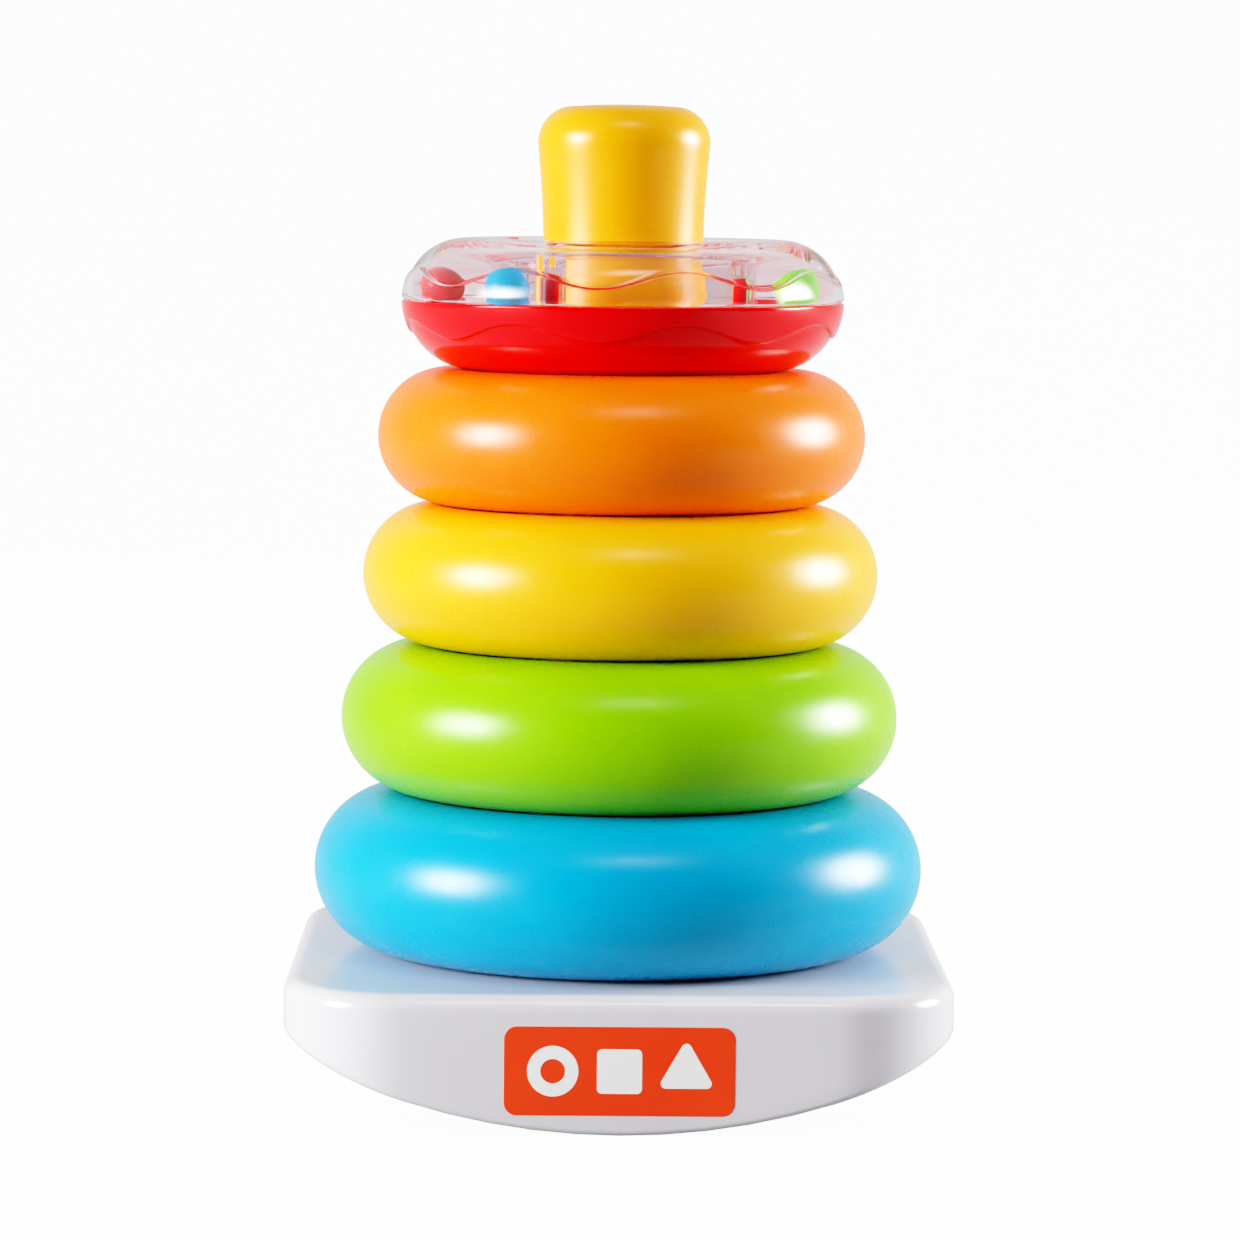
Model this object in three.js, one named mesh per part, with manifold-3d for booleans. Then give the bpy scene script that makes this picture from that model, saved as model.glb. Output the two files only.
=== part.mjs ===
// A stacking ring toy: four hollow rings and a clear rattle ring, stacked on a tapered
// post that stands on a rocker base. Millimetres, +Z up, the front is -Y, and the
// origin is on the surface that the rocker stands on, below the middle of the post.
import * as THREE from "three";
import { mergeVertices } from "three/addons/utils/BufferGeometryUtils.js";
import Module from "manifold-3d";

const wasm = await Module();
wasm.setup();

// ---------------------------------------------------------------- driving dimensions
const REST_GAP = 0.2; // between two pieces that rest on each other
const FIT_GAP = 0.3; // between two pieces that are fitted together

// rocker base
const BASE_SIDE = 133.5;
const BASE_CORNER = 24.5;
const BASE_TOP = 27.4;
const BASE_EDGE = 3.2; // rounding of the top edge
const BASE_WALL = 2.5;
const ROCKER_RADIUS = 140; // it rocks from side to side, about an axis along Y
const ROCKER_FACET = THREE.MathUtils.degToRad(5);
const ROCKER_FACETS = 13; // odd, so that one facet is level under the post

// screws: pan heads, driven from below
const SHANK_RADIUS = 1.4;
const HEAD_RADIUS = 2.9;
const HEAD_HEIGHT = 1.9;
const SOLE_SCREW_AT = 46; // along X and Y
const SOLE_SCREW_LENGTH = 8;
const POST_SCREW_AT = 36; // from the axis, on the diagonals
const POST_SCREW_LENGTH = 6.5;

// post
const FLANGE_RADIUS = 40;
const FLANGE_BOTTOM = 16.7;
const FLANGE_TOP = 19.1;
const POST_FOOT = 27.6;
const POST_NECK = 16.4;
const NECK_HEIGHT = 172;
const KNOB_RADIUS = 17.66;
const KNOB_HEIGHT = 192.8; // of the knob's widest place
const KNOB_FLAT = 10.5; // radius of its nearly flat top
const KNOB_CROWN = 0.4; // how far the flat top still rises to its middle
const POST_TOP = 200.7;
const POST_WALL = 2;

// hollow rings, from the bottom: radius of the middle of the tube, and of the tube
const RINGS = [
  { name: "ring_blue", colour: 0x10a9d6, middle: 46.5, tube: 16.2 },
  { name: "ring_green", colour: 0x8ccf12, middle: 42.07, tube: 15.2 },
  { name: "ring_yellow", colour: 0xf0c41a, middle: 38.58, tube: 14.35 },
  { name: "ring_orange", colour: 0xf98207, middle: 36.17, tube: 13.85 },
];
const RING_WALL = 2;
const VENT_RADIUS = 1;

// rattle ring
const RATTLE_RADIUS = 45.35;
const COVER_ROUND = 12.6; // radius of the clear cover's rounded side
const SHELL_ROUND = 14.2; // radius of the lower shell's rounded side
const RATTLE_HOLE = 24.8;
const HOLE_EDGE = 2; // rounding of the hole's edges
const HUB_RADIUS = 27.6; // chamber side of the wall round the hole
const COVER_WALL = 1.6;
const SHELL_WALL = 2.4;
const BOSS_AT = 27.4;
const BOSS_RADIUS = 3.25;
const BOSS_ROOT = 1.2; // how far a boss runs into the cover's ceiling
const BOSS_ANGLES = [-31.5, 58.5, 148.5, 238.5]; // degrees from the front, towards +X
const PEG_RADIUS = 1.35;
const PEG_HEIGHT = 5.9;
const TRAY_DEPTH = 1.7; // top of the bead tray below the seam
const TRAY_THICK = 1.5;
const TRAY_LEDGE = 1.5;
const BEAD_RADIUS = 4.4;
const BEAD_LANE = 37.4;
const BEADS = [
  { name: "bead_red", colour: 0xd92128, angle: -77 },
  { name: "bead_blue", colour: 0x1893bd, angle: -38 },
  { name: "bead_green", colour: 0x7cc832, angle: 68 },
];

// label on the front
const LABEL_WIDTH = 45;
const LABEL_HEIGHT = 17.5;
const LABEL_CORNER = 2.5;
const LABEL_MIDDLE = 12.9; // height of its middle
const LABEL_THICK = 0.4;
const LABEL_RECESS = 0.5;

const TURN_STEPS = 36; // facets round a large turned piece
const WHITE = 0xe9e6ea;
const RED = 0xe0100c;
const STEEL = 0xb8bcc0;

// ---------------------------------------------------------------- solids and meshes
const plain = (g) => {
  const bare = g.index ? g.toNonIndexed() : g.clone();
  bare.deleteAttribute("normal");
  bare.deleteAttribute("uv");
  return mergeVertices(bare, 1e-4);
};

function solidOf(geometry) {
  const merged = plain(geometry);
  return new wasm.Manifold(
    new wasm.Mesh({
      numProp: 3,
      vertProperties: merged.attributes.position.array,
      triVerts: new Uint32Array(merged.index.array),
    }),
  );
}

function geometryOf(solid) {
  const mesh = solid.getMesh();
  return new THREE.BufferGeometry()
    .setAttribute("position", new THREE.BufferAttribute(mesh.vertProperties, 3))
    .setIndex(new THREE.BufferAttribute(mesh.triVerts, 1))
    .toNonIndexed();
}

const toy = new THREE.Group();

function addPiece(name, geometry, colour, roughness, extra = {}) {
  geometry.computeVertexNormals();
  const finish = { color: colour, roughness, metalness: 0, ...extra };
  const mesh = new THREE.Mesh(geometry, new THREE.MeshStandardMaterial(finish));
  mesh.name = name;
  toy.add(mesh);
  return mesh;
}

// A closed outline of [radius, height] pairs, turned round the Z axis.
function turned(outline, steps = TURN_STEPS) {
  const points = outline.map(([r, z]) => new THREE.Vector2(r, z));
  let area = 0;
  points.forEach((p, i) => {
    area += p.cross(points[(i + 1) % points.length]);
  });
  if (area < 0) points.reverse();
  const onAxis = points[0].x === 0 && points.at(-1).x === 0;
  if (!onAxis) points.push(points[0].clone());
  return new THREE.LatheGeometry(points, steps).rotateX(Math.PI / 2);
}

// Points of an arc round (r, z), from one angle to another, in degrees.
function arc(r, z, radius, from, to, steps) {
  return Array.from({ length: steps + 1 }, (_, i) => {
    const a = THREE.MathUtils.degToRad(from + ((to - from) * i) / steps);
    return [r + radius * Math.cos(a), z + radius * Math.sin(a)];
  });
}

// An upright cylinder from one height to another.
function rod(radius, low, high, x = 0, y = 0, steps = 12) {
  return new THREE.CylinderGeometry(radius, radius, high - low, steps)
    .rotateX(Math.PI / 2)
    .translate(x, y, (low + high) / 2);
}

// Where a place lies that is given by its distance from the axis and angle from the front.
function fromFront(distance, degrees) {
  const a = THREE.MathUtils.degToRad(degrees);
  return [distance * Math.sin(a), -distance * Math.cos(a)];
}

function roundedShape(width, height, corner) {
  const x = width / 2 - corner;
  const y = height / 2 - corner;
  const quarter = Math.PI / 2;
  return new THREE.Shape()
    .absarc(x, y, corner, 0, quarter)
    .absarc(-x, y, corner, quarter, 2 * quarter)
    .absarc(-x, -y, corner, 2 * quarter, 3 * quarter)
    .absarc(x, -y, corner, 3 * quarter, 4 * quarter);
}

// An upright block with a rounded square plan.
function block(side, corner, low, high, edge = 0) {
  const geometry = new THREE.ExtrudeGeometry(roundedShape(side, side, corner), {
    depth: high - low - 2 * edge,
    curveSegments: 5,
    bevelEnabled: edge > 0,
    bevelThickness: edge,
    bevelSize: edge,
    bevelOffset: -edge,
    bevelSegments: 3,
  });
  return geometry.translate(0, 0, low + edge);
}

// ---------------------------------------------------------------- rocker base
const ROCKER_SPAN = BASE_SIDE + 20; // longer than the base, so that it cuts right through

// Everything above the rocker's surface, or above a surface inset from it.
function aboveRocker(inset) {
  const corner = (ROCKER_RADIUS - inset) / Math.cos(ROCKER_FACET / 2);
  const shape = new THREE.Shape();
  for (let i = 0; i <= ROCKER_FACETS; i++) {
    const a = (i - ROCKER_FACETS / 2) * ROCKER_FACET;
    const x = corner * Math.sin(a);
    const z = ROCKER_RADIUS - corner * Math.cos(a);
    if (i === 0) shape.moveTo(x, z);
    else shape.lineTo(x, z);
  }
  const side = corner * Math.sin((ROCKER_FACETS / 2) * ROCKER_FACET);
  shape.lineTo(side, BASE_SIDE);
  shape.lineTo(-side, BASE_SIDE);
  const run = { depth: ROCKER_SPAN, bevelEnabled: false };
  const prism = new THREE.ExtrudeGeometry(shape, run).rotateX(Math.PI / 2);
  return solidOf(prism.translate(0, ROCKER_SPAN / 2, 0));
}

const BELOW_BASE = -6; // blocks start here and are cut off by the rocker's surface
const PLATE_BOTTOM = BASE_TOP - BASE_WALL;
const CUP_TOP = 15;
const CUP_FLOOR = CUP_TOP - 2.5; // the screw head bears on it
const CUP_RADIUS = 5.2;
const SOLE_BOSS_RADIUS = 3.7;
const POST_BOSS_RADIUS = 3.5;
const SCREW_BORE = SHANK_RADIUS + 0.25;
const SCREW_CLEARANCE = SHANK_RADIUS + 0.45;
const CORNERS = [
  [1, 1],
  [-1, 1],
  [-1, -1],
  [1, -1],
];
const soleScrewSpots = CORNERS.map(([x, y]) => [x * SOLE_SCREW_AT, y * SOLE_SCREW_AT]);
const postScrewSpots = [45, 135, 225, 315].map((a) => fromFront(POST_SCREW_AT, a));

function labelPlate(thick, grow) {
  const shape = roundedShape(
    LABEL_WIDTH + 2 * grow,
    LABEL_HEIGHT + 2 * grow,
    LABEL_CORNER + grow,
  );
  const run = { depth: thick, curveSegments: 4, bevelEnabled: false };
  return new THREE.ExtrudeGeometry(shape, run).rotateX(Math.PI / 2);
}

function baseShell() {
  const innerSide = BASE_SIDE - 2 * BASE_WALL;
  const innerCorner = BASE_CORNER - BASE_WALL;
  let shell = solidOf(block(BASE_SIDE, BASE_CORNER, BELOW_BASE, BASE_TOP, BASE_EDGE))
    .intersect(aboveRocker(0))
    .subtract(solidOf(block(innerSide, innerCorner, BELOW_BASE - 1, PLATE_BOTTOM)));
  const intoPlate = PLATE_BOTTOM + 1;
  const boreEnd = PLATE_BOTTOM + 0.5;
  for (const [x, y] of soleScrewSpots) {
    const end = CUP_TOP + FIT_GAP;
    shell = shell
      .add(solidOf(rod(SOLE_BOSS_RADIUS, end, intoPlate, x, y)))
      .subtract(solidOf(rod(SCREW_BORE, end - 1, boreEnd, x, y, 8)));
  }
  for (const [x, y] of postScrewSpots) {
    const end = FLANGE_TOP + FIT_GAP;
    shell = shell
      .add(solidOf(rod(POST_BOSS_RADIUS, end, intoPlate, x, y)))
      .subtract(solidOf(rod(SCREW_BORE, end - 1, boreEnd, x, y, 8)));
  }
  const collar = postRadiusAt(PLATE_BOTTOM) + FIT_GAP;
  const recess = labelPlate(LABEL_RECESS + 1, 0.25).translate(
    0,
    LABEL_RECESS - BASE_SIDE / 2,
    LABEL_MIDDLE,
  );
  return shell
    .subtract(solidOf(rod(collar, PLATE_BOTTOM - 1, BASE_TOP + 1, 0, 0, TURN_STEPS)))
    .subtract(solidOf(recess));
}

function rockerSole() {
  const side = BASE_SIDE - 2 * BASE_WALL - 2 * FIT_GAP;
  const corner = BASE_CORNER - BASE_WALL - FIT_GAP;
  const skin = aboveRocker(0).subtract(aboveRocker(BASE_WALL));
  let sole = solidOf(block(side, corner, BELOW_BASE, BASE_TOP)).intersect(skin);
  for (const [x, y] of soleScrewSpots) {
    const cup = solidOf(rod(CUP_RADIUS, BELOW_BASE, CUP_TOP, x, y)).intersect(aboveRocker(0));
    sole = sole
      .add(cup)
      .subtract(solidOf(rod(HEAD_RADIUS + 0.6, BELOW_BASE, CUP_FLOOR, x, y)))
      .subtract(solidOf(rod(SCREW_CLEARANCE, CUP_FLOOR - 1, CUP_TOP + 1, x, y, 8)));
  }
  return sole;
}

// A pan-head screw with a cross recess, its head below and its tip above.
function screw(seat, length, [x, y]) {
  const headBottom = seat - HEAD_HEIGHT;
  const outline = [
    [0, headBottom],
    [HEAD_RADIUS * 0.75, headBottom],
    [HEAD_RADIUS, headBottom + HEAD_HEIGHT * 0.45],
    [HEAD_RADIUS, seat],
    [SHANK_RADIUS, seat],
    [SHANK_RADIUS, seat + length - 1],
    [SHANK_RADIUS * 0.4, seat + length],
    [0, seat + length],
  ];
  const slot = new THREE.BoxGeometry(HEAD_RADIUS * 1.1, 0.7, 2).translate(0, 0, headBottom);
  const made = solidOf(turned(outline, 10))
    .subtract(solidOf(slot))
    .subtract(solidOf(slot.clone().rotateZ(Math.PI / 2)));
  return geometryOf(made).translate(x, y, 0);
}

// ---------------------------------------------------------------- post
function postRadiusAt(z) {
  const share = (z - FLANGE_TOP) / (NECK_HEIGHT - FLANGE_TOP);
  return THREE.MathUtils.lerp(POST_FOOT, POST_NECK, share);
}

// The knob's side, from the neck to its middle: a slow flare, a round shoulder, a flat top.
function knobOutline(inset, steps) {
  const flare = Array.from({ length: steps }, (_, i) => {
    const t = (i + 1) / steps;
    const z = THREE.MathUtils.lerp(NECK_HEIGHT, KNOB_HEIGHT, t);
    return [THREE.MathUtils.lerp(POST_NECK, KNOB_RADIUS, t ** 1.7) - inset, z];
  });
  const across = KNOB_RADIUS - KNOB_FLAT - inset;
  const rise = POST_TOP - KNOB_CROWN - KNOB_HEIGHT - inset;
  const shoulder = Array.from({ length: steps }, (_, i) => {
    const a = ((i + 1) / steps) * (Math.PI / 2);
    return [KNOB_FLAT + across * Math.cos(a), KNOB_HEIGHT + rise * Math.sin(a)];
  });
  return [...flare, ...shoulder, [0, POST_TOP - inset]];
}

function postGeometry() {
  const outside = [
    [FLANGE_RADIUS, FLANGE_BOTTOM],
    [FLANGE_RADIUS, FLANGE_TOP],
    [POST_FOOT, FLANGE_TOP],
    [POST_NECK, NECK_HEIGHT],
    ...knobOutline(0, 5),
  ];
  const inside = [
    [POST_FOOT - POST_WALL, FLANGE_BOTTOM],
    [POST_NECK - POST_WALL, NECK_HEIGHT],
    ...knobOutline(POST_WALL, 3),
  ];
  let post = solidOf(turned([...inside.reverse(), ...outside]));
  for (const [x, y] of postScrewSpots) {
    const hole = rod(SCREW_CLEARANCE, FLANGE_BOTTOM - 1, FLANGE_TOP + 1, x, y, 8);
    post = post.subtract(solidOf(hole));
  }
  return geometryOf(post);
}

// ---------------------------------------------------------------- hollow rings
// A ring is blow-moulded, so it has a small vent hole in the side that faces the post.
function ringGeometry({ middle, tube }) {
  const around = TURN_STEPS;
  const skin = solidOf(new THREE.TorusGeometry(middle, tube, 16, around));
  const cavity = solidOf(new THREE.TorusGeometry(middle, tube - RING_WALL, 8, around * (2 / 3)));
  const vent = new THREE.CylinderGeometry(VENT_RADIUS, VENT_RADIUS, 2 * RING_WALL, 8);
  vent.translate(0, middle - tube + RING_WALL / 2, -tube * 0.1);
  return geometryOf(skin.subtract(cavity).subtract(solidOf(vent)));
}

// How far above a ring's middle the next one's middle lies when they touch.
function stackStep(lower, upper) {
  const reach = lower.tube + upper.tube + REST_GAP;
  return Math.sqrt(reach ** 2 - (lower.middle - upper.middle) ** 2);
}

const ringHeights = [BASE_TOP + REST_GAP + RINGS[0].tube];
for (let i = 1; i < RINGS.length; i++) {
  ringHeights.push(ringHeights[i - 1] + stackStep(RINGS[i - 1], RINGS[i]));
}

// ---------------------------------------------------------------- rattle ring
// The seam between its halves is its own zero height.
const shellRing = { middle: RATTLE_RADIUS - SHELL_ROUND, tube: SHELL_ROUND };
const SEAM = ringHeights.at(-1) + stackStep(RINGS.at(-1), shellRing);
const bossSpots = BOSS_ANGLES.map((a) => fromFront(BOSS_AT, a));

// Joins cylinders round the hub, cut off flush with the hole.
function hubBosses(radius, low, high, steps = 12) {
  const hole = solidOf(rod(RATTLE_HOLE, low - 1, high + 1, 0, 0, TURN_STEPS));
  return bossSpots
    .map(([x, y]) => solidOf(rod(radius, low, high, x, y, steps)).subtract(hole))
    .reduce((a, b) => a.add(b));
}

function clearCover() {
  const side = RATTLE_RADIUS - COVER_ROUND;
  const inner = COVER_ROUND - COVER_WALL;
  const ceiling = Math.sqrt(inner ** 2 - (side - HUB_RADIUS) ** 2);
  const atHub = THREE.MathUtils.radToDeg(Math.atan2(ceiling, HUB_RADIUS - side));
  const low = REST_GAP / 2;
  const profile = [
    [RATTLE_RADIUS, low],
    ...arc(side, 0, COVER_ROUND, 15, 90, 5),
    ...arc(RATTLE_HOLE + HOLE_EDGE, COVER_ROUND - HOLE_EDGE, HOLE_EDGE, 90, 180, 2),
    [RATTLE_HOLE, low],
    [HUB_RADIUS, low],
    ...arc(side, 0, inner, atHub, 20, 4),
    [side + inner, low],
  ];
  const bosses = hubBosses(BOSS_RADIUS, low, ceiling + BOSS_ROOT);
  return solidOf(turned(profile))
    .add(bosses)
    .subtract(hubBosses(PEG_RADIUS + 0.25, low - 1, PEG_HEIGHT + 0.6, 8));
}

const TRAY_BOTTOM = -(TRAY_DEPTH + TRAY_THICK);

function lowerShell() {
  const side = shellRing.middle;
  const inner = SHELL_ROUND - SHELL_WALL;
  const top = -REST_GAP / 2;
  const ledge = TRAY_BOTTOM - REST_GAP;
  const cavityInner = HUB_RADIUS + TRAY_LEDGE;
  const ledgeAngle = THREE.MathUtils.radToDeg(Math.asin(ledge / inner));
  const floorAngle = -THREE.MathUtils.radToDeg(Math.acos((cavityInner - side) / inner));
  const lip = side + Math.sqrt(inner ** 2 - ledge ** 2);
  const profile = [
    [RATTLE_RADIUS, top],
    [side + inner, top],
    [lip, ledge],
    ...arc(side, 0, inner, ledgeAngle, floorAngle, 4).slice(1),
    [cavityInner, ledge],
    [HUB_RADIUS, ledge],
    [HUB_RADIUS, top],
    [RATTLE_HOLE, top],
    ...arc(RATTLE_HOLE + HOLE_EDGE, HOLE_EDGE - SHELL_ROUND, HOLE_EDGE, 180, 270, 2),
    ...arc(side, 0, SHELL_ROUND, -90, -15, 5),
  ];
  return solidOf(turned(profile))
    .add(hubBosses(BOSS_RADIUS, ledge - 6, top))
    .add(hubBosses(PEG_RADIUS, top - 1, PEG_HEIGHT, 8));
}

function beadTray() {
  const inner = SHELL_ROUND - SHELL_WALL;
  const rim = shellRing.middle + Math.sqrt(inner ** 2 - TRAY_BOTTOM ** 2) - FIT_GAP;
  const profile = [
    [HUB_RADIUS + FIT_GAP, TRAY_BOTTOM],
    [rim, TRAY_BOTTOM],
    [rim, -TRAY_DEPTH],
    [HUB_RADIUS + FIT_GAP, -TRAY_DEPTH],
  ];
  return solidOf(turned(profile)).subtract(
    hubBosses(BOSS_RADIUS + FIT_GAP, TRAY_BOTTOM - 1, 1),
  );
}

// ---------------------------------------------------------------- assembly
addPiece("base_shell", geometryOf(baseShell()), WHITE, 0.45);
addPiece("rocker_sole", geometryOf(rockerSole()), WHITE, 0.5);
soleScrewSpots.forEach((spot, i) => {
  const made = screw(CUP_FLOOR - 0.1, SOLE_SCREW_LENGTH, spot);
  addPiece(`sole_screw_${i + 1}`, made, STEEL, 0.35, { metalness: 1 });
});
addPiece("post", postGeometry(), 0xf2c40a, 0.35);
postScrewSpots.forEach((spot, i) => {
  const made = screw(FLANGE_BOTTOM - 0.1, POST_SCREW_LENGTH, spot);
  addPiece(`post_screw_${i + 1}`, made, STEEL, 0.35, { metalness: 1 });
});
const label = addPiece("front_label", labelPlate(LABEL_THICK, 0), 0xfd4c21, 0.4);
label.position.set(0, LABEL_THICK - BASE_SIDE / 2, LABEL_MIDDLE);

RINGS.forEach((ring, i) => {
  addPiece(ring.name, ringGeometry(ring), ring.colour, 0.35).position.z = ringHeights[i];
});

const rattle = new THREE.Group();
rattle.position.z = SEAM;
toy.add(rattle);
rattle.add(addPiece("rattle_shell", geometryOf(lowerShell()), RED, 0.25));
rattle.add(addPiece("bead_tray", geometryOf(beadTray()), RED, 0.25));
const clear = { transparent: true, opacity: 0.35 };
rattle.add(addPiece("clear_cover", geometryOf(clearCover()), 0xe6e2ea, 0.08, clear));
for (const { name, colour, angle } of BEADS) {
  const bead = addPiece(name, new THREE.SphereGeometry(BEAD_RADIUS, 12, 8), colour, 0.2);
  const [x, y] = fromFront(BEAD_LANE, angle);
  bead.position.set(x, y, BEAD_RADIUS + REST_GAP - TRAY_DEPTH);
  rattle.add(bead);
}

export default toy;
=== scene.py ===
"""A stacking ring toy: four hollow plastic rings and a bead rattle ring on a post that
stands on a rocker base. Metres, +Z up, the front is -Y, in the frame of the CAD model."""

import math

import bmesh
import bpy
from mathutils import Matrix, Vector


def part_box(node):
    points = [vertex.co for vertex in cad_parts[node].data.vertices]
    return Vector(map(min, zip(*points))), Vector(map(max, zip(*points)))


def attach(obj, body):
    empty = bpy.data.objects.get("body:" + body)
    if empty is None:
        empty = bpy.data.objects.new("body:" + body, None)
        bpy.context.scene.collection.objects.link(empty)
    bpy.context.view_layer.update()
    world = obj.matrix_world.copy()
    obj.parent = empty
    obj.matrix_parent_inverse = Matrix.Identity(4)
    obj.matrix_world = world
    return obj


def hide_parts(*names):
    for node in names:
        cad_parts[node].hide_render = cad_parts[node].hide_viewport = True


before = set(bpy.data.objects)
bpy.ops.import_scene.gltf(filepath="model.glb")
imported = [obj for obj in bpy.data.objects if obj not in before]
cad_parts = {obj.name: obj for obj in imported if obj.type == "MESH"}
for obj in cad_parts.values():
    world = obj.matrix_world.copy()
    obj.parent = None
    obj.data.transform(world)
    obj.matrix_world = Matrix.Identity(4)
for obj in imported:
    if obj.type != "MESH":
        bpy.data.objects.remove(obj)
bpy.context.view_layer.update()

MM = 0.001
WELD = 0.0002 * MM  # points nearer than this are one point
PAST = 1 * MM  # how far a cutter reaches past what it cuts


# ---------------------------------------------------------------- sizes from the frame
def size_of(node):
    low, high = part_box(node)
    return Vector(high) - Vector(low)


def low_of(node):
    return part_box(node)[0]


def high_of(node):
    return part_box(node)[1]


def centre_of(node):
    low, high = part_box(node)
    return (Vector(low) + Vector(high)) / 2


BASE_SIDE = size_of("base_shell")[0]
BASE_TOP = high_of("base_shell")[2]
BASE_CORNER = 24.5 * MM
BASE_EDGE = 3.2 * MM
BASE_LIP = 1.2 * MM
BASE_WALL = 2.5 * MM
ROCKER_RADIUS = 140 * MM
SOLE_TIP = 0.5 * MM  # half the width of the sole at its two ends
OPENING_EDGE = 0.5 * MM
FIT_GAP = 0.3 * MM

CUP_TOP = high_of("rocker_sole")[2]
CUP_RADIUS = 5.2 * MM
CUP_ROOT = 1.2 * MM  # how far up into the sole's plate a cup starts
CUP_ROOF = 2.5 * MM
HEAD_RADIUS = size_of("sole_screw_1")[0] / 2
HEAD_HEIGHT = 1.9 * MM
HEAD_SPACE = 0.6 * MM
SHANK_RADIUS = 1.4 * MM
SHANK_SPACE = 0.45 * MM
THREAD_PITCH = 1.1 * MM
SCREW_POINT = 1.2 * MM
RECESS_REACH = 0.575  # as a share of the head's radius
RECESS_HALF_WIDTH = 0.325 * MM
RECESS_DEPTH = 0.85 * MM

POST_TOP = high_of("post")[2]
FLANGE_RADIUS = size_of("post")[0] / 2
FLANGE_BOTTOM = low_of("post")[2]
FLANGE_THICK = 2.4 * MM
FLANGE_TOP = FLANGE_BOTTOM + FLANGE_THICK
POST_FOOT = 27.6 * MM
POST_NECK = 16.4 * MM
NECK_HEIGHT = 172 * MM
KNOB_RADIUS = 17.66 * MM
KNOB_HEIGHT = 192.8 * MM
KNOB_FLAT = 10.5 * MM
KNOB_CROWN = 0.4 * MM
POST_WALL = 2 * MM

RING_WALL = 2 * MM
VENT_RADIUS = MM

RATTLE_RADIUS = size_of("rattle_shell")[0] / 2
RATTLE_TOP = high_of("clear_cover")[2]
RATTLE_BOTTOM = low_of("rattle_shell")[2]
SHELL_DEPTH = 14.2 * MM
SEAM = RATTLE_BOTTOM + SHELL_DEPTH
SEAM_GAP = 0.1 * MM
SEAM_EDGE = 0.4 * MM
COVER_CHAMFER = 0.2 * MM
RATTLE_HOLE = 24.8 * MM
HOLE_CLEAR = 0.02 * MM  # keeps the trimming rod's face off the cover's, so that none coincide
HOLE_ROW = 7 * MM  # from the seam to a row of points on the straight wall of the hole
HUB_ROW = 5 * MM  # the same, on the outside of the hub
HUB_RADIUS = 27.6 * MM
AROUND = 256  # steps round the two halves
COVER_WALL = 1.6 * MM
SHELL_WALL = 2.4 * MM
HOLE_EDGE = 2 * MM
BOSS_AT = 27.4 * MM
BOSS_RADIUS = 3.25 * MM
BOSS_ROOT = 1.2 * MM
BOSS_DEPTH = 6 * MM  # below the shell's ledge
BOSS_ANGLES = (-31.5, 58.5, 148.5, 238.5)  # degrees from the front
COVER_TRIM = 8 * MM  # how far from the seam the bosses are cut back to the hole
SHELL_TRIM = 10 * MM
PEG_RADIUS = 1.35 * MM
PEG_HEIGHT = 5.9 * MM
PEG_SPACE = 0.25 * MM
PEG_HEADROOM = 0.6 * MM
PEG_ROOT = 2 * MM
TRAY_DEPTH = 1.7 * MM
TRAY_THICK = 1.5 * MM
TRAY_BOTTOM = TRAY_DEPTH + TRAY_THICK
TRAY_EDGE = 0.4 * MM
LEDGE_GAP = 0.2 * MM
SHELL_HUB_WALL = 1.5 * MM

WAVES = 8
WAVE_CREST = -29.5  # degrees from the front
WAVE_SWING = 1.7 * MM
WAVE_STEP = 0.6 * MM
WAVE_EASE = 0.35 * MM  # half the width over which the step at the wavy edge is eased
COVER_WAVE = 5.2 * MM  # mean height of the wavy edge above the seam
SHELL_WAVE = 5.7 * MM  # and below it

BEAD_SEAM = 0.04 * MM
BEAD_SEAM_WIDTH = 0.05  # radians

LABEL_CORNER = 2.5 * MM
LABEL_THICK = 0.12 * MM
LABEL_TUCK = 0.05 * MM  # how far the label's back lies inside the base's face
LABEL_BEVEL = 0.08 * MM
INK_TUCK = 0.01 * MM
INK_THICK = 0.02 * MM
INK_PITCH = 13 * MM
INK_ROUND = MM
HOOP_OUTER = 5 * MM
HOOP_INNER = 2.4 * MM
SQUARE_REACH = 3.4 * math.sqrt(2) * MM
TRIANGLE_REACH = 4.6 * MM


# ---------------------------------------------------------------- mesh helpers
def smooth_by_angle(mesh, degrees):
    """Welds the points that a cut left double, then shades smooth, with the edges that turn
    by more than the angle kept sharp."""
    limit = math.radians(degrees)
    bm = bmesh.new()
    bm.from_mesh(mesh)
    bmesh.ops.remove_doubles(bm, verts=bm.verts, dist=WELD)
    bmesh.ops.dissolve_degenerate(bm, edges=bm.edges, dist=WELD)
    bmesh.ops.recalc_face_normals(bm, faces=bm.faces)
    for face in bm.faces:
        face.smooth = True
    for edge in bm.edges:
        edge.smooth = edge.calc_face_angle(0) < limit
    bm.to_mesh(mesh)
    bm.free()


def piece(name, verts, faces, angle=35):
    mesh = bpy.data.meshes.new(name)
    mesh.from_pydata(verts, [], faces)
    obj = bpy.data.objects.new(name, mesh)
    bpy.context.scene.collection.objects.link(obj)
    smooth_by_angle(mesh, angle)
    return obj


def loft(loops, closed):
    """Faces between loops of equal length; closed joins the last loop to the first."""
    count = len(loops[0])
    verts = [v for loop in loops for v in loop]
    rows = len(loops)
    faces = []
    for row in range(rows if closed else rows - 1):
        a = row * count
        b = (row + 1) % rows * count
        for i in range(count):
            j = (i + 1) % count
            faces.append((a + i, a + j, b + j, b + i))
    if not closed:
        faces.append(tuple(reversed(range(count))))
        faces.append(tuple(range((rows - 1) * count, rows * count)))
    return verts, faces


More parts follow.
